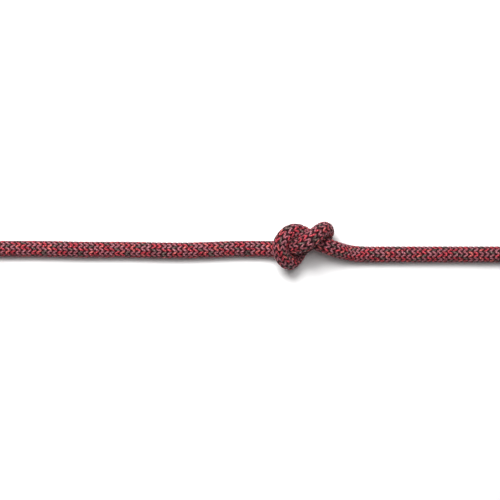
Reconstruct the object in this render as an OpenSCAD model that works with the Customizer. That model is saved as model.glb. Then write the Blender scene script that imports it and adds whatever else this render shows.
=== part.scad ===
// Dynamic climbing rope of kernmantle build: twisted core strands inside a braided sheath.
// One end runs out of a strapped hank, through an overhand knot, to a sealed end.
// The frame: the origin is the middle of the hank's underside, +X runs along the rope, +Z is up.

/* [Rope] */
// Outer diameter of the rope
rope_d = 10; // [9:0.1:10.2]
// Wall thickness of the braided sheath
sheath_t = 0.9; // [0.7:0.1:0.9]
// Diameter of one core strand
strand_d = 2.5; // [2:0.1:2.5]
// Diameter of the identification thread between the core and the sheath
thread_d = 0.7; // [0.5:0.1:0.8]

/* [Hank] */
// Straight length of the hank's legs
leg_l = 145; // [120:5:180]
// Turns side by side in one layer
columns = 7; // [5:1:7]
// Layers of turns on top of each other
layers = 15; // [9:1:17]
// Centreline radius of the innermost turn
inner_turn_r = 20; // [15:1:20]

/* [Straps] */
// Width of the webbing
strap_w = 25; // [20:1:28]
// Thickness of the webbing
strap_t = 1.5; // [1:0.1:1.8]
// Distance of each strap's middle from the hank's middle
strap_x = 60; // [50:1:60]
// Length of the tab that closes a strap
tab_l = 60; // [40:1:80]

/* [Rope ends] */
// Length of the sleeve shrunk over each rope end
sleeve_l = 30; // [20:1:34]
// Wall thickness of the sleeve
sleeve_t = 0.4; // [0.3:0.1:0.5]
// Length of the fused tip beyond the sheath
tip_l = 3; // [2:0.5:4]

/* [Bends] */
// Place along X of the bend between the hank and the knot
knot_bend_x = 260; // [240:1:280]
// Place along X of the bend between the knot and the tail
tail_bend_x = 445; // [430:1:455]
// Gap at each bend between the two runs of rope
bend_gap = 7; // [6:0.5:9]

/* [Colours] */
// Braided sheath
sheath_color = "firebrick"; // [firebrick, brown, indianred, maroon]
// Core strands
core_color = "ivory"; // [ivory, white, linen]
// Webbing straps
strap_color = "dimgray"; // [dimgray, black, slategray]

/* [Hidden] */

rope_r = rope_d / 2;
sheath_inner_r = rope_r - sheath_t;
strand_r = strand_d / 2;
thread_r = thread_d / 2;
tube_sides = 12;
strand_sides = 8;
outer_strands = 6;
// The outer strands lie round the central one with a little room between them.
fit_gap = 0.1;
strand_ring_r = strand_d + fit_gap;
// The thread lies in the gap between two outer strands, close under the sheath.
thread_play = 0.35;
thread_ring_r = sheath_inner_r - thread_r - thread_play;
thread_angle = 180 / outer_strands;
round_fn = 64;

// The turns of each layer lie in the hollows of the layer below.
layer_rise = rope_d * sqrt(3) / 2;
hank_h = rope_d + (layers - 1) * layer_rise;
outer_turn_r = inner_turn_r + (columns - 1) * rope_d;
hank_half_w = outer_turn_r + rope_r;
leg_end_x = leg_l / 2;

// The rope leaves the hank along its outermost leg.
line_y = outer_turn_r;
floor_z = rope_r;
knot_at = [371, line_y + 1];

// Where a strap passes under the hank it lies in a groove, clear of the floor.
groove_h = strap_t + fit_gap;
groove_play = 0.5;
// Room above the rope where it leaves the hank.
exit_play = 0.2;
tab_gap = 0.3;
tab_top_z = 100;

// The free end lies on top of the hank, over the third leg from its edge, and both straps hold it.
free_end_y = 2 * rope_d - line_y;
free_end_z = hank_h + rope_r + sleeve_t + fit_gap;
free_end_x = [-leg_end_x, 110];
strap_fit = 0.02;

// The tail ends in a straight stretch, raised by the sleeve's wall.
tail_y = line_y - 3;
tail_end_z = floor_z + sleeve_t + fit_gap;
tail_end_x = 534;
sleeve_back = 2;
tip_r = rope_r - 0.2;
tip_edge = 1.2;

lead_points = [
    [leg_end_x, line_y, floor_z], [95, line_y, floor_z], [120, line_y, floor_z],
    [150, line_y + 0.5, floor_z], [180, line_y + 0.5, floor_z], [210, line_y + 0.5, floor_z],
    [235, line_y, floor_z], [knot_bend_x - bend_gap / 2, line_y, floor_z]
];
entry_points = [
    [knot_bend_x + bend_gap / 2, line_y, floor_z], [285, line_y - 0.5, floor_z],
    [303, line_y - 0.5, floor_z], [318, line_y, floor_z], [332, line_y + 0.5, floor_z]
];
// The overhand knot, counted from its own middle: under, over, back under, over, under, over.
knot_points = [
    [-27, -0.5, 5], [-20, -0.5, 5], [-13.5, 0, 5.5], [-8.5, 1.5, 8.5], [-4, 2, 15.5],
    [-0.5, 1, 23], [4, 3, 27.5], [8.5, 7, 28], [14.5, 11, 24], [18, 11.5, 16], [17, 8.5, 10],
    [13, 6, 6.5], [6, 2, 5], [1, -4.5, 6], [-2.5, -8, 10], [-7, -8.5, 15], [-11.5, -5, 21],
    [-12, 3, 24.5], [-8.5, 9, 24.5], [-3.5, 12, 21.5], [3.5, 10.5, 18], [9.5, 4.5, 17],
    [15, 1, 17.5], [20.5, -0.5, 14.5], [27, -2, 9.5], [34, -3.5, 6], [41, -4, 5]
];
exit_points = [
    [425, tail_y, floor_z], [tail_bend_x - bend_gap / 2, tail_y, floor_z]
];
tail_points = [
    [tail_bend_x + bend_gap / 2, tail_y, floor_z], [470, tail_y, floor_z],
    [485, tail_y, tail_end_z], [508, tail_y, tail_end_z], [tail_end_x, tail_y, tail_end_z]
];

function last(p) = p[len(p) - 1];
function unit(v) = v / norm(v);
function on_floor(v) = [v[0], v[1], max(v[2], floor_z)];

// A smooth curve through every point, halved once between neighbours.
function halfway(a, b, c, d) = on_floor((9 * (b + c) - a - d) / 16);
function smoothed(p) = [
    for (i = [1:len(p) - 3]) each [p[i], halfway(p[i - 1], p[i], p[i + 1], p[i + 2])],
    p[len(p) - 2]
];

placed_knot = [for (p = knot_points) on_floor([knot_at[0] + p[0], knot_at[1] + p[1], p[2]])];
knot_run = concat(
    entry_points,
    smoothed(concat([last(entry_points)], placed_knot, [exit_points[0]])),
    exit_points
);
route = concat(lead_points, knot_run, tail_points);

// A frame at each point that doesn't turn about the rope: its middle, its normal and its tangent.
function tangent(p, i) = unit(p[min(i + 1, len(p) - 1)] - p[max(i - 1, 0)]);
function square_to(n, t) = unit(n - (n * t) * t);
function frames(p) = [
    for (
        i = 0, n = square_to([0, 0, 1], tangent(p, 0));
        i < len(p);
        i = i + 1, n = i < len(p) ? square_to(n, tangent(p, i)) : n
    ) [p[i], n, tangent(p, i)]
];
route_frames = frames(route);
function stretch(from, count) = [for (i = [from:from + count - 1]) route_frames[i]];
lead_frames = stretch(0, len(lead_points));
knot_frames = stretch(len(lead_points), len(knot_run));
tail_frames = stretch(len(lead_points) + len(knot_run), len(tail_points));

// One ring of points, off the rope's middle by a radius and an angle.
function ring(f, off_r, off_a, r, sides) =
    let (b = cross(f[2], f[1]), middle = f[0] + off_r * (cos(off_a) * f[1] + sin(off_a) * b))
    [for (k = [0:sides - 1]) middle + r * (cos(360 * k / sides) * f[1] + sin(360 * k / sides) * b)];
function side_faces(rings, sides, first, outward) = [
    for (i = [0:rings - 2], k = [0:sides - 1])
        let (
            a = first + i * sides + k,
            b = first + i * sides + (k + 1) % sides,
            face = [a, a + sides, b + sides, b]
        )
        outward ? face : [for (j = [3:-1:0]) face[j]]
];

module strand(frames, off_r, off_a, r, sides) {
    rings = len(frames);
    polyhedron(
        points = [for (f = frames) each ring(f, off_r, off_a, r, sides)],
        faces = concat(
            side_faces(rings, sides, 0, true),
            [[for (k = [0:sides - 1]) k]],
            [[for (k = [sides - 1:-1:0]) (rings - 1) * sides + k]]
        )
    );
}

module hollow_tube(frames, outer_r, inner_r, sides) {
    rings = len(frames);
    inside = rings * sides;
    end = (rings - 1) * sides;
    polyhedron(
        points = concat(
            [for (f = frames) each ring(f, 0, 0, outer_r, sides)],
            [for (f = frames) each ring(f, 0, 0, inner_r, sides)]
        ),
        faces = concat(
            side_faces(rings, sides, 0, true),
            side_faces(rings, sides, inside, false),
            [for (k = [0:sides - 1]) let (n = (k + 1) % sides) [k, n, inside + n, inside + k]],
            [for (k = [0:sides - 1]) let (n = (k + 1) % sides)
                [end + k, end + inside + k, end + inside + n, end + n]]
        )
    );
}

// Number 1 to 6 are the outer strands and 7 is the central one.
module core_strand(frames, number) {
    color(core_color)
        if (number > outer_strands)
            strand(frames, 0, 0, strand_r, strand_sides);
        else
            strand(frames, strand_ring_r, 360 * (number - 1) / outer_strands, strand_r, strand_sides);
}

module sheath(frames) {
    color(sheath_color) hollow_tube(frames, rope_r, sheath_inner_r, tube_sides);
}

module thread(frames) {
    color("gold") strand(frames, thread_ring_r, thread_angle, thread_r, strand_sides);
}

module along_x(x, y, z) {
    translate([x, y, z]) rotate([0, 90, 0]) children();
}

module end_sleeve(x, y, z) {
    color("black") along_x(x, y, z) difference() {
        cylinder(r = rope_r + sleeve_t, h = sleeve_l, $fn = round_fn);
        translate([0, 0, -1]) cylinder(r = rope_r + strap_fit, h = sleeve_l + 2, $fn = round_fn);
    }
}

module fused_tip(x, y, z) {
    color("darkred") along_x(x, y, z) rotate_extrude($fn = round_fn) {
        square([tip_r - tip_edge, tip_l]);
        square([tip_r, tip_l - tip_edge]);
        translate([tip_r - tip_edge, tip_l - tip_edge]) intersection() {
            circle(tip_edge, $fn = round_fn);
            square(tip_edge);
        }
    }
}

module hank_outline() {
    square([leg_l, 2 * hank_half_w], center = true);
    for (side = [-1, 1]) translate([side * leg_end_x, 0]) circle(hank_half_w, $fn = 2 * round_fn);
}

module hank() {
    color(sheath_color) difference() {
        linear_extrude(hank_h) hank_outline();
        // The missing part of the lowest outer turn, where the rope leaves.
        translate([leg_end_x, line_y - rope_r - fit_gap, -1])
            cube([hank_half_w, 2 * rope_d, rope_d + exit_play + 1]);
        for (side = [-1, 1])
            translate([side * strap_x - strap_w / 2 - groove_play, -hank_half_w - 1, -1])
                cube([strap_w + 2 * groove_play, 2 * hank_half_w + 2, groove_h + 1]);
    }
}

// The section that a taut strap encloses: the hank's legs and the free end on top.
module strapped_section() {
    hull() {
        translate([-hank_half_w, groove_h]) square([2 * hank_half_w, hank_h - groove_h]);
        translate([free_end_y, free_end_z]) circle(rope_r + strap_fit, $fn = 32);
    }
}

module strap(side) {
    color(strap_color)
        translate([side * strap_x - strap_w / 2, 0, 0])
            rotate([90, 0, 90])
                linear_extrude(strap_w) difference() {
                    offset(r = strap_t, $fn = 32) strapped_section();
                    strapped_section();
                }
}

module strap_tab(side) {
    color(strap_color)
        translate([side * strap_x - strap_w / 2, -hank_half_w - 2 * strap_t - tab_gap, tab_top_z - tab_l])
            cube([strap_w, strap_t, tab_l]);
}

module free_end_sheath() {
    color(sheath_color) along_x(free_end_x[0], free_end_y, free_end_z) difference() {
        cylinder(r = rope_r, h = free_end_x[1] - free_end_x[0], $fn = round_fn);
        translate([0, 0, -1])
            cylinder(r = sheath_inner_r, h = free_end_x[1] - free_end_x[0] + 2, $fn = round_fn);
    }
}

module free_end_core() {
    color(core_color) along_x(free_end_x[0], free_end_y, free_end_z) {
        cylinder(r = strand_r, h = free_end_x[1] - free_end_x[0], $fn = round_fn);
        for (i = [0:outer_strands - 1])
            rotate(360 * i / outer_strands) translate([strand_ring_r, 0, 0])
                cylinder(r = strand_r, h = free_end_x[1] - free_end_x[0], $fn = round_fn);
    }
}

module strap_left() { strap(-1); }
module strap_right() { strap(1); }
module strap_left_tab() { strap_tab(-1); }
module strap_right_tab() { strap_tab(1); }
module tail_sleeve() { end_sleeve(tail_end_x - sleeve_back - sleeve_l, tail_y, tail_end_z); }
module tail_tip() { fused_tip(tail_end_x, tail_y, tail_end_z); }
module free_end_sleeve() { end_sleeve(free_end_x[1] - sleeve_back - sleeve_l, free_end_y, free_end_z); }
module free_end_tip() { fused_tip(free_end_x[1], free_end_y, free_end_z); }

hank();
strap_left();
strap_right();
strap_left_tab();
strap_right_tab();
sheath(lead_frames);  // lead_sheath
sheath(knot_frames);  // knot_sheath
sheath(tail_frames);  // tail_sheath
core_strand(lead_frames, 1);  // lead_core_1
core_strand(lead_frames, 2);  // lead_core_2
core_strand(lead_frames, 3);  // lead_core_3
core_strand(lead_frames, 4);  // lead_core_4
core_strand(lead_frames, 5);  // lead_core_5
core_strand(lead_frames, 6);  // lead_core_6
core_strand(lead_frames, 7);  // lead_core_7
core_strand(knot_frames, 1);  // knot_core_1
core_strand(knot_frames, 2);  // knot_core_2
core_strand(knot_frames, 3);  // knot_core_3
core_strand(knot_frames, 4);  // knot_core_4
core_strand(knot_frames, 5);  // knot_core_5
core_strand(knot_frames, 6);  // knot_core_6
core_strand(knot_frames, 7);  // knot_core_7
core_strand(tail_frames, 1);  // tail_core_1
core_strand(tail_frames, 2);  // tail_core_2
core_strand(tail_frames, 3);  // tail_core_3
core_strand(tail_frames, 4);  // tail_core_4
core_strand(tail_frames, 5);  // tail_core_5
core_strand(tail_frames, 6);  // tail_core_6
core_strand(tail_frames, 7);  // tail_core_7
thread(lead_frames);  // lead_thread
thread(knot_frames);  // knot_thread
thread(tail_frames);  // tail_thread
tail_sleeve();
tail_tip();
free_end_sheath();
free_end_core();
free_end_sleeve();
free_end_tip();
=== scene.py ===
import math

import bpy
import numpy as np
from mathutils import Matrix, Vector


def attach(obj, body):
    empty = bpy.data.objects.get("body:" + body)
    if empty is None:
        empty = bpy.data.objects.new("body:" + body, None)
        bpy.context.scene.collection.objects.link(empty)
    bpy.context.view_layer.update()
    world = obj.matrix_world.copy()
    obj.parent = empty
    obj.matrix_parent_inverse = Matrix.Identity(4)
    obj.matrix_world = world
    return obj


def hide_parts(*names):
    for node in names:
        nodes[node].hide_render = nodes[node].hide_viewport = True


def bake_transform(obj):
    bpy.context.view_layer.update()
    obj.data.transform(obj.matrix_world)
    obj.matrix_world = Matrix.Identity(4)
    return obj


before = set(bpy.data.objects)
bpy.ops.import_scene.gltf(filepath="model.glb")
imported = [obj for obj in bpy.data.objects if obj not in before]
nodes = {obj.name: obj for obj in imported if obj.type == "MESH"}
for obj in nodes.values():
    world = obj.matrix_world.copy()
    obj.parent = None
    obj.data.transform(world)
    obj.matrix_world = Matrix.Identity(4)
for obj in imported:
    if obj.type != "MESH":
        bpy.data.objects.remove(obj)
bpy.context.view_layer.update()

# ---------------------------------------------------------------- sizes, in metres
MM = 0.001
ROPE_D = 0.010
ROPE_R = ROPE_D / 2
STRAP_FIT = 0.00002
LEG_X = 0.0725
LINE_Y = 0.080
LAYERS = 15
LAYER_RISE = ROPE_D * math.sqrt(3) / 2
HANK_H = ROPE_D + (LAYERS - 1) * LAYER_RISE
STRAP_X = 0.060
WEB_T = 0.0014  # webbing, a little thinner than the room it has
TAB_TOP_Z = 0.100
TAB_L = 0.060
TAB_Y = -0.08755  # middle of the tab's thickness
FREE_Y = -0.060
FREE_Z = HANK_H + ROPE_R + 0.0005
FREE_X = 0.110
SEAM_X = 0.320
BRAID_FROM_X = 0.064

LEAD_M = 0.052  # the braid's lead: one turn of a yarn round the rope
CARRIERS = 16  # yarns that run each way
YARN_STEP = 0.0008
YARN_SIDES = 8
YARN_HALF_W = 0.00072
YARN_HALF_T = 0.00046
YARN_MID_R = 0.00423
YARN_RISE = 0.00033
CORE_TUBE_R = 0.00400


# ---------------------------------------------------------------- the rope's route
def smooth(t):
    t = np.clip(t, 0, 1)
    return t * t * (3 - 2 * t)


def hank_route():
    """The whole winding, from the free end on top down to where the rope leaves the bottom layer."""
    leg_x = np.array([-72.5, -60, -47.5, -40, 0, 40, 47.5, 60, 72.5]) * MM
    out = []

    def leg(xs, y, z):
        out.extend([x, y, z] for x in xs)

    def arc(side, r0, r1, z0, z1, n=18):
        for k in range(1, n):
            t = k / n
            a = math.radians((90 if side > 0 else -90) - 180 * t)
            r, z = r0 + (r1 - r0) * smooth(t), z0 + (z1 - z0) * smooth(t)
            out.append([side * LEG_X + r * math.cos(a), r * math.sin(a), z])

    top_z = ROPE_R + (LAYERS - 1) * LAYER_RISE
    leg([FREE_X, 0.095, *leg_x[::-1]], FREE_Y, FREE_Z)
    # Over the top layer and down beside its innermost turn.
    drop = 0.42
    arc(-1, -FREE_Y, 0.020, FREE_Z, FREE_Z - drop * (FREE_Z - top_z), 22)
    for k in range(LAYERS - 1, -1, -1):
        z = ROPE_R + k * LAYER_RISE
        turns = [20 + 10 * i for i in range(7)] if k % 2 == 0 else [75 - 10 * i for i in range(6)]
        for i, r in enumerate(turns):
            r = r * MM
            first = k == LAYERS - 1 and i == 0
            for x in leg_x:
                fall = smooth((x + LEG_X) / 0.045) if first else 1.0
                out.append([x, r, z + (1 - fall) * (1 - drop) * (FREE_Z - top_z)])
            if k == 0 and i == len(turns) - 1:
                break
            arc(1, r, r, z, z)
            leg(leg_x[::-1], -r, z)
            if i + 1 < len(turns):
                arc(-1, r, turns[i + 1] * MM, z, z)
            else:
                arc(-1, r, (75 if k % 2 == 0 else 20) * MM, z, z - LAYER_RISE)
    return np.array(out, float)


LEAD = [
    [95, 80, 5], [120, 80, 5], [150, 80.5, 5], [180, 80.5, 5], [210, 80.5, 5],
    [235, 80, 5], [256.5, 80, 5], [263.5, 80, 5], [285, 79.5, 5], [303, 79.5, 5],
    [318, 80, 5], [332, 80.5, 5],
]
KNOT_AT = (371, 81)
# Seen from above, the places that the knot's strands pass, counted from the knot's middle, with
# their heights.
KNOT = [
    [-27, -0.5, 5], [-20, -0.5, 5.5], [-14, -0.5, 6], [-8.5, 1, 8.5], [-5, 2, 14], [-2.5, 1.5, 20.5],
    [2.5, 2.5, 25.5], [8, 6.5, 26.5], [12.5, 10.5, 22.5], [16, 10.5, 15], [15.5, 7.5, 7.5], [11.5, 5, 5],
    [5, 3, 5], [0, -1.5, 5], [-3.5, -6.5, 6.5], [-6.5, -9.2, 11.5], [-11, -5, 16.5], [-12.2, 1, 19],
    [-9.6, 6.5, 19], [-4, 9, 15], [2.5, 8, 13], [8, 5.5, 15], [13.5, 2.5, 16], [20, 0, 13.5], [26.5, -2, 9],
    [33, -3.5, 6], [41, -4, 5],
]
TAIL = [
    [425, 77, 5], [441.5, 77, 5], [448.5, 77, 5], [470, 77, 5], [485, 77, 5.5], [508, 77, 5.5],
    [534, 77, 5.5],
]


def resample(line, step):
    along = np.concatenate([[0], np.cumsum(np.linalg.norm(np.diff(line, axis=0), axis=1))])
    at = np.linspace(0, along[-1], int(round(along[-1] / step)) + 1)
    return np.stack([np.interp(at, along, line[:, k]) for k in range(3)], axis=1)


def through(points, per=16):
    """A centripetal Catmull-Rom curve through the points."""
    p = np.array(points, float)
    p = np.vstack([2 * p[0] - p[1], p, 2 * p[-1] - p[-2]])
    out = []
    for i in range(1, len(p) - 2):
        a, b, c, d = p[i - 1 : i + 3]
        t = np.cumsum([0] + [np.linalg.norm(v) ** 0.5 for v in (b - a, c - b, d - c)])
        for u in np.linspace(t[1], t[2], per, endpoint=False):
            def mix(x, y, t0, t1):
                return x * (t1 - u) / (t1 - t0) + y * (u - t0) / (t1 - t0)

            e, f, g = mix(a, b, t[0], t[1]), mix(b, c, t[1], t[2]), mix(c, d, t[2], t[3])
            out.append(mix(mix(e, f, t[0], t[2]), mix(f, g, t[1], t[3]), t[1], t[2]))
    out.append(p[-2])
    return np.array(out)


def eased(line, sigma, step):
    """The line with its small wobbles smoothed away; both ends stay."""
    n = int(3 * sigma / step)
    k = np.exp(-0.5 * (np.arange(-n, n + 1) * step / sigma) ** 2)
    k /= k.sum()
    head, foot = line[0] - line[1], line[-1] - line[-2]
    pad = np.vstack([
        [line[0] + head * i for i in range(n, 0, -1)], line, [line[-1] + foot * i for i in range(1, n + 1)]
    ])
    return np.stack([np.convolve(pad[:, j], k, "valid") for j in range(3)], axis=1)


def lifted(line):
    """Turns rise a little where the straps pass under the hank."""
    x = np.abs(line[:, 0])
    window = smooth((x - 0.036) / 0.010) * (1 - smooth((x - 0.074) / 0.014))
    line = line.copy()
    line[:, 2] += 0.0017 * window * np.clip(1 - (line[:, 2] - ROPE_R) / HANK_H, 0, 1) * (line[:, 0] < 0.1)
    return line


def settled(points, gap=2.0, apart=9.4, rounds=600):
    """The knot drawn tight, in mm: its strands push each other apart and bend evenly; both ends stay."""
    goal = resample(through(points), gap)
    p = goal.copy()
    n = len(p)
    far = np.abs(np.arange(n)[:, None] - np.arange(n)[None]) * gap > 15
    for _ in range(rounds):
        second = np.zeros_like(p)
        second[1:-1] = p[:-2] + p[2:] - 2 * p[1:-1]
        p[2:-2] -= 0.075 * (second[1:-3] + second[3:-1] - 2 * second[2:-2])
        p[2:-2, :2] += 0.06 * (goal[2:-2, :2] - p[2:-2, :2])
        for _ in range(2):
            off = p[:, None] - p[None]
            d = np.linalg.norm(off, axis=2) + 1e-9
            near = far & (d < apart)
            push = np.where(near[..., None], off * ((apart - d) / d / 2)[..., None], 0).sum(1)
            p[2:-2] += 0.9 * (push / np.maximum(near.sum(1), 1)[:, None])[2:-2]
        p[:, 2] = np.maximum(p[:, 2], 5.0)
        for _ in range(2):
            step = np.diff(p, axis=0)
            size = np.linalg.norm(step, axis=1)[:, None]
            slip = step / size * (size - size.mean()) * 0.25
            p[1:-2] += slip[1:-1]
            p[2:-1] -= slip[1:-1]
    return p


winding = lifted(hank_route())
knot = settled(KNOT) + [KNOT_AT[0], KNOT_AT[1], 0]
run_points = [[48, 80, 5], [60, 80, 5], [72.5, 80, 5]] + LEAD + knot.tolist() + TAIL
run = through(run_points) * MM
run = resample(eased(resample(run, 0.0005), 0.0016, 0.0005), YARN_STEP)
run = lifted(run)
run[:, 2] = np.maximum(run[:, 2], ROPE_R)
run = run[np.argmax(run[:, 0] >= BRAID_FROM_X) :]
run_s = np.concatenate([[0], np.cumsum(np.linalg.norm(np.diff(run, axis=0), axis=1))])


def frames_along(line, normal=(0, 0, 1)):
    """Tangents and a normal that doesn't turn about the line, at each point."""
    t = np.gradient(line, axis=0)
    t /= np.linalg.norm(t, axis=1)[:, None]
    n = np.empty_like(t)
    v = np.array(normal, float)
    for i in range(len(line)):
        v = v - (v @ t[i]) * t[i]
        v /= np.linalg.norm(v)
        n[i] = v
    return t, n, np.cross(t, n)


run_t, run_n, run_b = frames_along(run)
seam = int(np.argmax(run[:, 0] >= SEAM_X))


# ---------------------------------------------------------------- mesh helpers
def mesh_object(name, verts, faces, material, uv=None):
    mesh = bpy.data.meshes.new(name)
    mesh.from_pydata(np.asarray(verts).tolist(), [], [list(map(int, f)) for f in faces])
    if uv is not None:
        layer = mesh.uv_layers.new(name="weave")
        layer.data.foreach_set("uv", np.asarray(uv, np.float32).ravel())
    mesh.polygons.foreach_set("use_smooth", [True] * len(mesh.polygons))
    mesh.update()
    mesh.materials.append(material)
    ob = bpy.data.objects.new(name, mesh)
    bpy.context.scene.collection.objects.link(ob)
    return ob


def tube_arrays(rings, u, first=0):
    """Vertices, quads and UVs of a closed tube from rings of points (count x sides x 3)."""
    count, sides = rings.shape[:2]
    i, k = np.meshgrid(np.arange(count - 1), np.arange(sides), indexing="ij")
    k2 = (k + 1) % sides
    quads = np.stack([i * sides + k, i * sides + k2, (i + 1) * sides + k2, (i + 1) * sides + k], -1)
    v0, v1 = k / sides, (k + 1) / sides
    corners = ((u[i], v0), (u[i], v1), (u[i + 1], v1), (u[i + 1], v0))
    uv = np.stack([np.stack(c, -1) for c in corners], -2)
    quads, uv = quads.reshape(-1, 4) + first, uv.reshape(-1, 4, 2)
    return rings.reshape(-1, 3), quads, uv


def capped(name, line, radii, sides, material, u):
    """A closed tube along the line, whose UVs run with u along it and once round it."""
    t, n, b = frames_along(line)
    a = 2 * np.pi * np.arange(sides) / sides
    radii = np.broadcast_to(radii, (len(line),))
    rings = line[:, None] + radii[:, None, None] * (
        np.cos(a)[None, :, None] * n[:, None] + np.sin(a)[None, :, None] * b[:, None]
    )
    verts, quads, uv = tube_arrays(rings, u)
    faces = [list(q) for q in quads.tolist()]
    end = (len(line) - 1) * sides
    faces += [list(range(sides - 1, -1, -1)), list(range(end, end + sides))]
    uv = np.vstack([uv.reshape(-1, 2), np.zeros((2 * sides, 2))])
    return mesh_object(name, verts, faces, material, uv)


# ---------------------------------------------------------------- materials
def new_material(name):
    m = bpy.data.materials.new(name)
    m.use_nodes = True
    nt = m.node_tree
    bsdf = nt.nodes["Principled BSDF"]
    return m, nt, bsdf


def calc(nt, op, a, b=None):
    n = nt.nodes.new("ShaderNodeMath")
    n.operation = op
    for i, x in enumerate((a, b)):
        if x is None:
            continue
        if isinstance(x, (int, float)):
            n.inputs[i].default_value = x
        else:
            nt.links.new(x, n.inputs[i])
    return n.outputs[0]


def mixed(nt, share, a, b):
    n = nt.nodes.new("ShaderNodeMix")
    n.data_type = "RGBA"
    for socket, x in ((n.inputs["Factor"], share), (n.inputs["A"], a), (n.inputs["B"], b)):
        if isinstance(x, (int, float)):
            socket.default_value = x
        elif isinstance(x, tuple):
            socket.default_value = (*x, 1)
        else:
            nt.links.new(x, socket)
    return n.outputs["Result"]


def uv_parts(nt, name="weave"):
    uv = nt.nodes.new("ShaderNodeUVMap")
    uv.uv_map = name
    sep = nt.nodes.new("ShaderNodeSeparateXYZ")
    nt.links.new(uv.outputs[0], sep.inputs[0])
    return uv.outputs[0], sep.outputs[0], sep.outputs[1]


def noise(nt, vector, scale, detail=2.0, rough=0.5, stretch=None):
    if stretch is not None:
        m = nt.nodes.new("ShaderNodeMapping")
        m.inputs["Scale"].default_value = stretch
        nt.links.new(vector, m.inputs["Vector"])
        vector = m.outputs[0]
    n = nt.nodes.new("ShaderNodeTexNoise")
    n.inputs["Scale"].default_value = scale
    n.inputs["Detail"].default_value = detail
    n.inputs["Roughness"].default_value = rough
    nt.links.new(vector, n.inputs["Vector"])
    return n.outputs["Fac"]


def stepped(nt, value, low, high):
    """The value stretched so that low to high becomes 0 to 1."""
    n = nt.nodes.new("ShaderNodeMapRange")
    n.inputs["From Min"].default_value = low
    n.inputs["From Max"].default_value = high
    nt.links.new(value, n.inputs["Value"])
    return n.outputs["Result"]


def bump(nt, bsdf, height, strength, distance):
    b = nt.nodes.new("ShaderNodeBump")
    b.inputs["Strength"].default_value = strength
    b.inputs["Distance"].default_value = distance
    nt.links.new(height, b.inputs["Height"])
    nt.links.new(b.outputs[0], bsdf.inputs["Normal"])


def finish_of(bsdf, roughness, sheen=0.0, specular=0.4):
    bsdf.inputs["Roughness"].default_value = roughness
    bsdf.inputs["Specular IOR Level"].default_value = specular
    bsdf.inputs["Sheen Weight"].default_value = sheen
    bsdf.inputs["Sheen Roughness"].default_value = 0.5


YARNS = {
    "rose": (0.330, 0.105, 0.128),
    "red": (0.490, 0.030, 0.050),
    "coral": (0.580, 0.110, 0.105),
    "grey": (0.125, 0.080, 0.068),
}
# The second colour that is spun into each yarn.
SECOND = {
    "rose": (0.300, 0.022, 0.036),
    "red": (0.080, 0.014, 0.018),
    "coral": (0.300, 0.018, 0.030),
    "grey": (0.050, 0.022, 0.022),
}


def yarn_material(name, colour):
    """Polyamide yarn: fine fibres along it, a slow change of shade, a soft gloss, and painted shade on its
    sides and where it dives under crossing yarns.
    """
    m, nt, bsdf = new_material("yarn_" + name)
    vec, u, v = uv_parts(nt)
    # Painted shade: crest falls from 1 on the yarn's top to 0 on its sides, and lift is 0 where the yarn
    # dives under a crossing yarn; together they blend the colour into deep, a near-black painted shade.
    crest = calc(nt, "COSINE", calc(nt, "MULTIPLY", calc(nt, "SUBTRACT", v, 0.1875), 2 * math.pi))
    crest = calc(nt, "MULTIPLY", calc(nt, "ADD", crest, 1.0), 0.5)
    lift = nt.nodes.new("ShaderNodeAttribute")
    lift.attribute_name = "lift"
    painted_light_share = calc(nt, "MULTIPLY", calc(nt, "POWER", crest, 3.6), calc(nt, "POWER", lift.outputs["Fac"], 3.2))
    fibres = noise(nt, vec, 1.0, 3.0, 0.6, (2.2, 34.0, 1.0))
    specks = noise(nt, vec, 1.0, 1.0, 0.6, (7.5, 6.0, 1.0))
    dark = tuple(c * 0.10 for c in colour)
    light = (colour[0] * 1.5 + 0.19, colour[1] * 1.6 + 0.09, colour[2] * 1.6 + 0.10)
    spun = stepped(nt, noise(nt, vec, 1.0, 1.0, 0.5, (2.1, 1.7, 1.0)), 0.47, 0.56)
    two = mixed(nt, spun, colour, SECOND[name])
    bright = mixed(nt, stepped(nt, specks, 0.50, 0.66), two, light)
    plies = mixed(nt, stepped(nt, specks, 0.36, 0.50), dark, bright)
    shade = mixed(nt, calc(nt, "MULTIPLY", fibres, 0.5), plies, tuple(c * 0.55 for c in colour))
    # deep is the near-black colour of the painted shade on the yarn's sides and under crossings.
    deep = (0.010 + colour[0] * 0.02, 0.002, 0.004)
    nt.links.new(mixed(nt, painted_light_share, deep, shade), bsdf.inputs["Base Color"])
    rough = calc(nt, "MULTIPLY_ADD", fibres, 0.25)
    rough.node.inputs[2].default_value = 0.42
    nt.links.new(rough, bsdf.inputs["Roughness"])
    finish_of(bsdf, 0.55, 0.02, 0.14)
    bump(nt, bsdf, calc(nt, "ADD", fibres, calc(nt, "MULTIPLY", specks, 0.5)), 0.5, 0.00012)
    return m


def pick(nt, index, palette):
    """A colour for each yarn number, by a ramp with hard steps."""
    ramp = nt.nodes.new("ShaderNodeValToRGB")
    ramp.color_ramp.interpolation = "CONSTANT"
    e = ramp.color_ramp.elements
    while len(e) > 1:
        e.remove(e[-1])
    e[0].position, e[0].color = 0.0, (*YARNS[palette[0]], 1)
    for i in range(1, len(palette)):
        if palette[i] != palette[i - 1]:
            x = e.new(i / len(palette))
            x.color = (*YARNS[palette[i]], 1)
    share = calc(nt, "DIVIDE", calc(nt, "ADD", index, 0.5), float(len(palette)))
    nt.links.new(share, ramp.inputs[0])
    return ramp.outputs[0]


# The colours of the yarns that run one way round the rope, and of those that run the other way.
S_YARNS = (
    ["red", "coral", "rose", "rose", "grey", "red", "red", "rose"]
    + ["rose", "rose", "red", "red", "rose", "grey", "rose", "rose"]
)
Z_YARNS = (
    ["rose", "red", "red", "rose", "rose", "grey", "rose", "coral"]
    + ["red", "rose", "rose", "rose", "red", "coral", "grey", "rose"]
)


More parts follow.
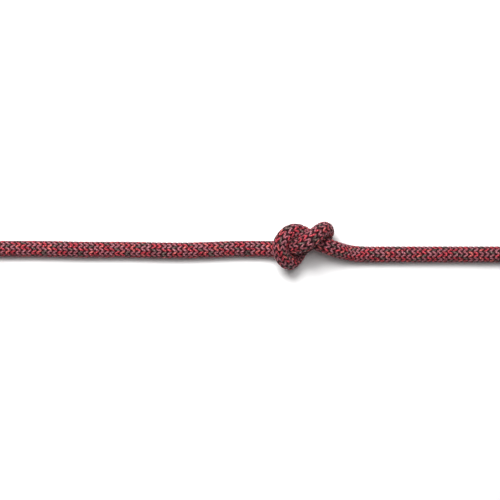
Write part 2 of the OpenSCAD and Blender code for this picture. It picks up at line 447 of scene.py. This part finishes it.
def braid_material():
    """The same braid for the rope in the hank: two sets of slanting yarns that change over rib by rib, with
    painted shade in the gaps between yarns.
    """
    m, nt, bsdf = new_material("braided_sheath")
    vec, u, v = uv_parts(nt)
    ribs = calc(nt, "MULTIPLY", v, float(CARRIERS))
    side = calc(nt, "MODULO", calc(nt, "FLOOR", ribs), 2.0)
    turns = calc(nt, "MULTIPLY", u, float(CARRIERS))
    a = calc(nt, "ADD", calc(nt, "ADD", turns, ribs), 1000.0)
    b = calc(nt, "ADD", calc(nt, "SUBTRACT", turns, ribs), 1000.0)
    count = float(CARRIERS)
    colour_a = pick(nt, calc(nt, "MODULO", calc(nt, "FLOOR", a), count), S_YARNS)
    colour_b = pick(nt, calc(nt, "MODULO", calc(nt, "FLOOR", b), count), Z_YARNS)
    colour = mixed(nt, side, colour_a, colour_b)
    spun = stepped(nt, noise(nt, vec, 1.0, 1.0, 0.5, (26.0, 16.0, 1.0)), 0.47, 0.56)
    colour = mixed(nt, spun, colour, (0.24, 0.020, 0.032))
    specks = noise(nt, vec, 1.0, 1.0, 0.6, (92.0, 56.0, 1.0))
    light = mixed(nt, 0.35, colour, (0.85, 0.42, 0.44))
    bright = mixed(nt, stepped(nt, specks, 0.52, 0.68), colour, light)
    colour = mixed(nt, stepped(nt, specks, 0.34, 0.48), (0.022, 0.006, 0.008), bright)

    def hump(x):
        return calc(nt, "SINE", calc(nt, "MULTIPLY", calc(nt, "FRACT", x), math.pi))

    across = nt.nodes.new("ShaderNodeMix")
    across.data_type = "FLOAT"
    nt.links.new(side, across.inputs["Factor"])
    nt.links.new(hump(a), across.inputs["A"])
    nt.links.new(hump(b), across.inputs["B"])
    yarn_hump = calc(nt, "POWER", across.outputs[0], 0.6)
    height = calc(nt, "MULTIPLY", yarn_hump, calc(nt, "POWER", hump(ribs), 0.5))
    fibres = noise(nt, vec, 1.0, 3.0, 0.6, (260.0, 190.0, 1.0))
    # Painted shade: where height is low, between yarns and on their sides, the colour is blended towards near
    # black.
    deep = calc(nt, "POWER", height, 0.8)
    gap = mixed(nt, deep, (0.014, 0.003, 0.004), colour)
    shade = mixed(nt, calc(nt, "MULTIPLY", fibres, 0.35), gap, (0.05, 0.012, 0.016))
    nt.links.new(shade, bsdf.inputs["Base Color"])
    rough = calc(nt, "MULTIPLY_ADD", fibres, 0.3)
    rough.node.inputs[2].default_value = 0.45
    nt.links.new(rough, bsdf.inputs["Roughness"])
    finish_of(bsdf, 0.6, 0.02, 0.16)
    bump(nt, bsdf, calc(nt, "ADD", height, calc(nt, "MULTIPLY", fibres, 0.12)), 0.9, 0.0007)
    return m


def ground_material():
    m, nt, bsdf = new_material("pale_floor")
    geo = nt.nodes.new("ShaderNodeTexCoord")
    n = noise(nt, geo.outputs["Object"], 30.0, 3.0, 0.5)
    shade = mixed(nt, calc(nt, "MULTIPLY", n, 0.1), (0.90, 0.90, 0.90), (0.87, 0.87, 0.87))
    nt.links.new(shade, bsdf.inputs["Base Color"])
    finish_of(bsdf, 0.85, 0.0, 0.1)
    return m


def plain_fabric(name, light, dark, scale, stretch, roughness, depth, sheen=0.2):
    m, nt, bsdf = new_material(name)
    geo = nt.nodes.new("ShaderNodeTexCoord")
    n = noise(nt, geo.outputs["Object"], scale, 3.0, 0.6, stretch)
    shade = mixed(nt, n, dark, light)
    nt.links.new(shade, bsdf.inputs["Base Color"])
    rough = calc(nt, "MULTIPLY_ADD", n, 0.25)
    rough.node.inputs[2].default_value = roughness
    nt.links.new(rough, bsdf.inputs["Roughness"])
    finish_of(bsdf, roughness, sheen, 0.35)
    bump(nt, bsdf, n, 0.6, depth)
    return m


def webbing_material():
    """Woven webbing: ribs, picks across them, a coloured line near each edge, and painted shade between ribs
    and picks. The UVs are in mm.
    """
    m, nt, bsdf = new_material("webbing")
    vec, u, v = uv_parts(nt)
    ribs = calc(nt, "MULTIPLY_ADD", v, 1 / 1.5)
    ribs.node.inputs[2].default_value = 100.0
    stagger = calc(nt, "MULTIPLY", calc(nt, "MODULO", calc(nt, "FLOOR", ribs), 2.0), 0.5)
    picks = calc(nt, "ADD", calc(nt, "MULTIPLY", u, 1 / 2.2), calc(nt, "ADD", stagger, 500.0))

    def hump(x):
        return calc(nt, "SINE", calc(nt, "MULTIPLY", calc(nt, "FRACT", x), math.pi))

    height = calc(nt, "MULTIPLY", calc(nt, "POWER", hump(ribs), 0.5), calc(nt, "POWER", hump(picks), 0.4))
    fibres = noise(nt, vec, 1.0, 3.0, 0.6, (0.5, 6.0, 1.0))
    wear = noise(nt, vec, 1.0, 2.0, 0.5, (0.05, 0.09, 1.0))
    plain = mixed(nt, fibres, (0.026, 0.027, 0.031), (0.085, 0.087, 0.096))
    accent = mixed(nt, fibres, (0.200, 0.012, 0.020), (0.420, 0.040, 0.055))
    from_edge = calc(nt, "SUBTRACT", calc(nt, "ABSOLUTE", v), 7.95)
    line = calc(nt, "LESS_THAN", calc(nt, "ABSOLUTE", from_edge), 0.75)
    yarn = mixed(nt, calc(nt, "MULTIPLY", wear, 0.35), mixed(nt, line, plain, accent), (0.11, 0.11, 0.12))
    # Painted shade: where height is low, between ribs and picks, the colour is blended towards near black.
    nt.links.new(mixed(nt, height, (0.008, 0.008, 0.010), yarn), bsdf.inputs["Base Color"])
    rough = calc(nt, "MULTIPLY_ADD", fibres, 0.25)
    rough.node.inputs[2].default_value = 0.55
    nt.links.new(rough, bsdf.inputs["Roughness"])
    finish_of(bsdf, 0.65, 0.15, 0.30)
    bump(nt, bsdf, calc(nt, "ADD", height, calc(nt, "MULTIPLY", fibres, 0.2)), 0.9, 0.0004)
    return m


braid = braid_material()
yarn_mats = {k: yarn_material(k, v) for k, v in YARNS.items()}
# Painted shade: a near-black tube under the sheath's yarns, so that the gaps between them show as shadow.
under_shade_mat = plain_fabric(
    "painted_shade_under_yarns", (0.030, 0.006, 0.008), (0.012, 0.003, 0.004), 900.0, (1, 1, 1), 0.75, 0.0001
)
core_mat = plain_fabric(
    "core_strand", (0.86, 0.85, 0.80), (0.70, 0.68, 0.62), 700.0, (0.25, 1, 1), 0.6, 0.0002
)
thread_mat = plain_fabric("id_thread", (0.75, 0.52, 0.10), (0.5, 0.3, 0.05), 900.0, (0.3, 1, 1), 0.5, 0.0001)
web_mat = webbing_material()
stitch_mat = plain_fabric("stitching", (0.52, 0.50, 0.48), (0.28, 0.26, 0.25), 1600.0, (1, 1, 1), 0.6, 0.0001)
sleeve_mat = plain_fabric(
    "shrink_sleeve", (0.028, 0.028, 0.030), (0.018, 0.018, 0.019), 260.0, (1, 1, 1), 0.30, 0.00005, 0.0
)
tip_mat = plain_fabric(
    "fused_end", (0.16, 0.018, 0.020), (0.07, 0.010, 0.012), 420.0, (1, 1, 1), 0.25, 0.0003, 0.0
)

# ---------------------------------------------------------------- camera and cords first
CAM_H = 1.505
VIEW_W = 0.3125
cam_data = bpy.data.cameras.new("view")
cam_data.sensor_width = 36.0
cam_data.lens = 18.0 * (CAM_H - ROPE_R) / (VIEW_W / 2)
cam_data.clip_start, cam_data.clip_end = 0.05, 20.0
cam = bpy.data.objects.new("view", cam_data)
cam.location = (0.340, 0.0797, CAM_H)
bpy.context.scene.collection.objects.link(cam)
bpy.context.scene.camera = cam


def rope_piece(name, line, u, radii):
    return capped(name, line, radii, 12, braid, u)


tube_at = list(range(0, seam, 3))
if tube_at[-1] != seam:
    tube_at.append(seam)
first_line = np.vstack([winding[:-1], run[tube_at][run[tube_at][:, 0] > LEG_X]])
first_s = np.concatenate([[0], np.cumsum(np.linalg.norm(np.diff(first_line, axis=0), axis=1))])
in_run = np.arange(len(first_line)) >= len(winding) - 1
first_r = np.where(in_run, CORE_TUBE_R, ROPE_R)
first_rope = rope_piece("rope_hank_and_lead", first_line, first_s / LEAD_M, first_r)
first_rope.data.materials.append(under_shade_mat)
under = np.zeros(len(first_rope.data.polygons), np.int32)
under[(len(winding) - 1) * 12 : -2] = 1
first_rope.data.polygons.foreach_set("material_index", under)
second_at = list(range(seam, len(run), 2))
if second_at[-1] != len(run) - 1:
    second_at.append(len(run) - 1)
second_line = run[second_at]
second_rope = rope_piece("rope_knot_and_tail", second_line, run_s[second_at] / LEAD_M, CORE_TUBE_R)
second_rope.data.materials.clear()
second_rope.data.materials.append(under_shade_mat)


# ---------------------------------------------------------------- the braided sheath, yarn by yarn
def yarn_rings(direction, number, i0, i1):
    """One yarn's rings from run point i0 to i1."""
    s = run_s[i0 : i1 + 1]
    theta = direction * (2 * np.pi * s / LEAD_M) + 2 * np.pi * (number + 0.5) / CARRIERS
    wave = np.cos(CARRIERS / 2 * theta)
    over = direction * np.tanh(2.4 * wave) / np.tanh(2.4)
    radius = YARN_MID_R + YARN_RISE * over
    t, n, b = run_t[i0 : i1 + 1], run_n[i0 : i1 + 1], run_b[i0 : i1 + 1]
    out = np.cos(theta)[:, None] * n + np.sin(theta)[:, None] * b
    middle = run[i0 : i1 + 1] + radius[:, None] * out
    along = np.gradient(middle, axis=0)
    along /= np.linalg.norm(along, axis=1)[:, None]
    up = out - (out * along).sum(1)[:, None] * along
    up /= np.linalg.norm(up, axis=1)[:, None]
    side = np.cross(along, up)
    a = 2 * np.pi * (np.arange(YARN_SIDES) + 0.5) / YARN_SIDES
    wide = YARN_HALF_W * (0.95 + 0.10 * over)
    thick = YARN_HALF_T * (0.95 + 0.12 * over)
    ca, sa = np.cos(a), np.sin(a)
    ca = np.sign(ca) * np.abs(ca) ** 0.85
    rings = middle[:, None] + wide[:, None, None] * ca[None, :, None] * side[:, None]
    return rings + thick[:, None, None] * sa[None, :, None] * up[:, None], s, over


def braid_group(name, colour, i0, i1):
    verts, faces, uvs, lifts, first = [], [], [], [], 0
    for direction, palette in ((1, S_YARNS), (-1, Z_YARNS)):
        for number, which in enumerate(palette):
            if which != colour:
                continue
            rings, s, over = yarn_rings(direction, number, i0, i1)
            v, q, uv = tube_arrays(rings, s / 0.004 + number * 7.3, first)
            first += len(v)
            verts.append(v)
            faces.append(q)
            uvs.append(uv.reshape(-1, 2))
            # The lift attribute is 0 where a yarn dives under and 1 where it floats over; the yarn material
            # paints shade with it.
            lifts.append(np.repeat(np.clip(0.5 + 0.6 * over, 0, 1), YARN_SIDES))
    ob = mesh_object(name, np.vstack(verts), np.vstack(faces), yarn_mats[colour], np.vstack(uvs))
    layer = ob.data.attributes.new("lift", "FLOAT", "POINT")
    layer.data.foreach_set("value", np.concatenate(lifts).astype(np.float32))
    return ob


first_yarns = [braid_group(f"sheath_lead_{c}", c, 0, seam) for c in YARNS]
second_yarns = [braid_group(f"sheath_knot_{c}", c, seam, len(run) - 1) for c in YARNS]

for o in [first_rope, *first_yarns]:
    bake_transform(o)
for o in [second_rope, *second_yarns]:
    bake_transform(o)
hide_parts("hank", "free_end_sheath", "lead_sheath")
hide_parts("knot_sheath", "tail_sheath")


# ---------------------------------------------------------------- core strands and identification thread
def inner_strand(name, off_r, off_a, r, sides, material, i0, i1):
    at = np.arange(i0, i1 + 1, 3)
    if at[-1] != i1:
        at = np.append(at, i1)
    a = math.radians(off_a)
    line = run[at] + off_r * (math.cos(a) * run_n[at] + math.sin(a) * run_b[at])
    ob = capped(name, line, r, sides, material, run_s[at] / LEAD_M)
    return ob


strap_edge = int(np.argmax(run[:, 0] >= LEG_X - 0.0005))
for part, (i0, i1) in {"lead": (strap_edge, seam), "knot": (seam, len(run) - 1)}.items():
    for number in range(1, 8):
        off = (0.0, 0.0) if number == 7 else (0.0026, 60.0 * (number - 1))
        ob = inner_strand(f"{part}_strand_{number}", off[0], off[1], 0.00125, 8, core_mat, i0, i1)
        if part == "lead":
            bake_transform(ob)
            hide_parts(f"lead_core_{number}")
        else:
            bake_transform(ob)
            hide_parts(f"knot_core_{number}", f"tail_core_{number}")
    ob = inner_strand(f"{part}_id_thread", 0.0034, 30.0, 0.00035, 6, thread_mat, i0, i1)
    if part == "lead":
        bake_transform(ob)
        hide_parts("lead_thread")
    else:
        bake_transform(ob)
        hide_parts("knot_thread", "tail_thread")

# ---------------------------------------------------------------- webbing straps with their sewn tabs
# Half the webbing's profile in mm: place across the width and height from its middle, with a
# groove inside each edge.
EDGE = [
    (12.5, 0.0), (12.3, 0.42), (11.9, 0.64), (11.0, 0.70), (10.2, 0.58), (9.4, 0.70), (5.0, 0.70),
    (0.0, 0.70),
]


def web_profile():
    upper = [(a, h) for a, h in EDGE] + [(-a, h) for a, h in EDGE[-2::-1]]
    return np.array(upper + [(a, -h) for a, h in upper[-2:0:-1]])


def webbing(name, middle, out, closed=False):
    """A band along the points, whose width runs along X; out is the face's direction at each point."""
    profile = web_profile()
    if closed:
        middle, out = np.vstack([middle, middle[:1]]), np.vstack([out, out[:1]])
    s = np.concatenate([[0], np.cumsum(np.linalg.norm(np.diff(middle, axis=0), axis=1))])
    rings = (
        middle[:, None]
        + profile[None, :, :1] * MM * np.array([1.0, 0, 0])
        + profile[None, :, 1:] * MM * (WEB_T / 0.0014) * out[:, None]
    )
    verts, quads, uv = tube_arrays(rings, s * 1000)
    sides = len(profile)
    across = np.append(profile[:, 0], profile[0, 0])
    uv = uv.reshape(-1, 2)
    uv[:, 1] = across[np.rint(uv[:, 1] * sides).astype(int)]
    faces = quads.tolist()
    if not closed:
        end = (len(middle) - 1) * sides
        faces += [list(range(sides - 1, -1, -1)), list(range(end, end + sides))]
        uv = np.vstack([uv, np.zeros((2 * sides, 2))])
    return mesh_object(name, verts, faces, web_mat, uv)


def hull(points):
    """The convex hull of points in a plane, anticlockwise."""
    p = sorted(map(tuple, points))

    def half(seq):
        out = []
        for q in seq:
            while len(out) > 1:
                (ax, ay), (bx, by) = out[-2:]
                if (bx - ax) * (q[1] - ay) - (by - ay) * (q[0] - ax) > 0:
                    break
                out.pop()
            out.append(q)
        return out[:-1]

    return np.array(half(p) + half(p[::-1]))


def strap_loop():
    """The taut loop's middle line in Y and Z, round the corner turns and the free end, and its normals."""
    r = ROPE_R + STRAP_FIT + WEB_T / 2
    top = lifted(np.array([[STRAP_X, LINE_Y, HANK_H - ROPE_R]]))[0, 2]
    low = lifted(np.array([[STRAP_X, LINE_Y, ROPE_R]]))[0, 2]
    turn = np.linspace(0, 2 * np.pi, 97)[:-1]
    ring = np.stack([np.cos(turn), np.sin(turn)], -1) * r
    centres = [(-LINE_Y, low), (LINE_Y, low), (LINE_Y, top), (-LINE_Y, top), (FREE_Y, FREE_Z)]
    line = hull(np.vstack([ring + c for c in centres]))
    line = resample(np.hstack([np.vstack([line, line[:1]]), np.zeros((len(line) + 1, 1))]), 0.0018)[:-1, :2]
    away = np.roll(line, -1, axis=0) - np.roll(line, 1, axis=0)
    away = np.stack([away[:, 1], -away[:, 0]], -1)
    away /= np.linalg.norm(away, axis=1)[:, None]
    # On the hank's sides the webbing sinks a little between the turns that it bears on.
    on_side = (np.abs(away[:, 0]) > 0.99) & (line[:, 1] > low) & (line[:, 1] < top)
    sink = 0.00030 * np.sin(np.pi * (line[:, 1] - low) / (2 * LAYER_RISE)) ** 2 * on_side
    return line - sink[:, None] * away, away


def stitches(name, rows, gap=0.0029, size=(0.00105, 0.00032)):
    """Sewn rows: each row is a start, an end and the face's outward direction; a stitch is a low capsule."""
    verts, faces, count = [], [], 0
    turn = 2 * np.pi * np.arange(6) / 6
    for start, end, out in rows:
        start, end, out = (np.array(x, float) for x in (start, end, out))
        span = np.linalg.norm(end - start)
        along = (end - start) / span
        side = np.cross(along, out)
        n = max(1, int(round(span / gap)))
        for k in range(n):
            c = start + along * span * (k + 0.5) / n
            for t, r in ((-1.0, 0.25), (-0.7, 0.85), (0.0, 1.0), (0.7, 0.85), (1.0, 0.25)):
                for a in turn:
                    round_it = np.cos(a) * side + 0.8 * np.sin(a) * out
                    verts.append(c + along * t * size[0] + size[1] * r * round_it)
            for i in range(4):
                for j in range(6):
                    a, b = count + i * 6 + j, count + i * 6 + (j + 1) % 6
                    faces.append([a, b, b + 6, a + 6])
            faces.append([count + j for j in range(5, -1, -1)])
            faces.append([count + 24 + j for j in range(6)])
            count += 30
    return mesh_object(name, verts, faces, stitch_mat)


loop, loop_out = strap_loop()
for side, where in (("left", -1), ("right", 1)):
    x0 = where * STRAP_X
    column = np.full((len(loop), 1), x0)
    strap = webbing(f"webbing_{side}", np.hstack([column, loop]), np.hstack([0 * column, loop_out]), True)
    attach(strap, "hank")
    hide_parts(f"strap_{side}")
    # The tab is sewn on above its hinge line and lies down the strap's face; its end is sewn.
    z = np.concatenate([
        np.linspace(TAB_TOP_Z + 0.017, TAB_TOP_Z + 0.005, 7),
        np.linspace(TAB_TOP_Z + 0.004, TAB_TOP_Z - 0.004, 9),
        np.linspace(TAB_TOP_Z - 0.006, TAB_TOP_Z - TAB_L + 0.0005, 27),
    ])
    middle = np.stack([np.full_like(z, x0), np.full_like(z, TAB_Y), z], -1)
    tab = webbing(f"webbing_{side}_tab", middle, np.tile([0.0, -1.0, 0.0], (len(z), 1)))
    tab_body = f"strap_{side}_tab"
    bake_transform(tab)
    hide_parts(tab_body)
    face = TAB_Y - 0.00062
    out = (0, -1, 0)
    xl, xr, z0, z1 = x0 - 0.0088, x0 + 0.0088, TAB_TOP_Z + 0.0058, TAB_TOP_Z + 0.0155
    box_sewn = [
        ((xl, face, z0), (xr, face, z0), out), ((xr, face, z0), (xr, face, z1), out),
        ((xr, face, z1), (xl, face, z1), out), ((xl, face, z1), (xl, face, z0), out),
        ((xl, face, z0), (xr, face, z1), out), ((xl, face, z1), (xr, face, z0), out),
    ]
    sewn = stitches(f"stitching_{side}", box_sewn)
    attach(sewn, "hank")
    tip = TAB_TOP_Z - TAB_L
    tab_rows = [
        ((x0 - 0.0105, face, tip + d), (x0 + 0.0105, face, tip + d), out) for d in (0.0022, 0.0085)
    ] + [((x0 + d, face, tip + 0.0085), (x0 + d, face, TAB_TOP_Z - 0.007), out) for d in (-0.0108, 0.0108)]
    tab_sewn = stitches(f"stitching_{side}_tab", tab_rows)
    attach(tab_sewn, tab_body)


def dress(name, material):
    o = nodes[name]
    o.data.materials.clear()
    o.data.materials.append(material)
    return o


tail_sleeve = dress("tail_sleeve", sleeve_mat)
tail_tip = dress("tail_tip", tip_mat)
dress("free_end_sleeve", sleeve_mat)
dress("free_end_tip", tip_mat)
dress("free_end_core", core_mat)

# ---------------------------------------------------------------- floor and light
bpy.ops.mesh.primitive_plane_add(size=6.0, location=(0.3, 0.0, 0.0))
floor = bpy.context.object
floor.name = "floor"
floor.data.materials.append(ground_material())

world = bpy.data.worlds.new("studio")
bpy.context.scene.world = world
world.use_nodes = True
world.node_tree.nodes["Background"].inputs["Color"].default_value = (1.0, 1.0, 1.0, 1)
world.node_tree.nodes["Background"].inputs["Strength"].default_value = 0.17


def soft_box(name, place, aim, size, power):
    data = bpy.data.lights.new(name, "AREA")
    data.shape = "DISK"
    data.size = size
    data.energy = power
    o = bpy.data.objects.new(name, data)
    o.location = place
    o.rotation_euler = (Vector(aim) - Vector(place)).to_track_quat("-Z", "Y").to_euler()
    o.visible_camera = False
    bpy.context.scene.collection.objects.link(o)


soft_box("key", (0.225, 0.36, 0.50), (0.34, 0.08, 0.0), 0.26, 4.2)
soft_box("top", (0.46, 0.96, 3.0), (0.34, 0.08, 0.0), 1.6, 46.0)

bpy.context.scene.view_settings.view_transform = "Standard"
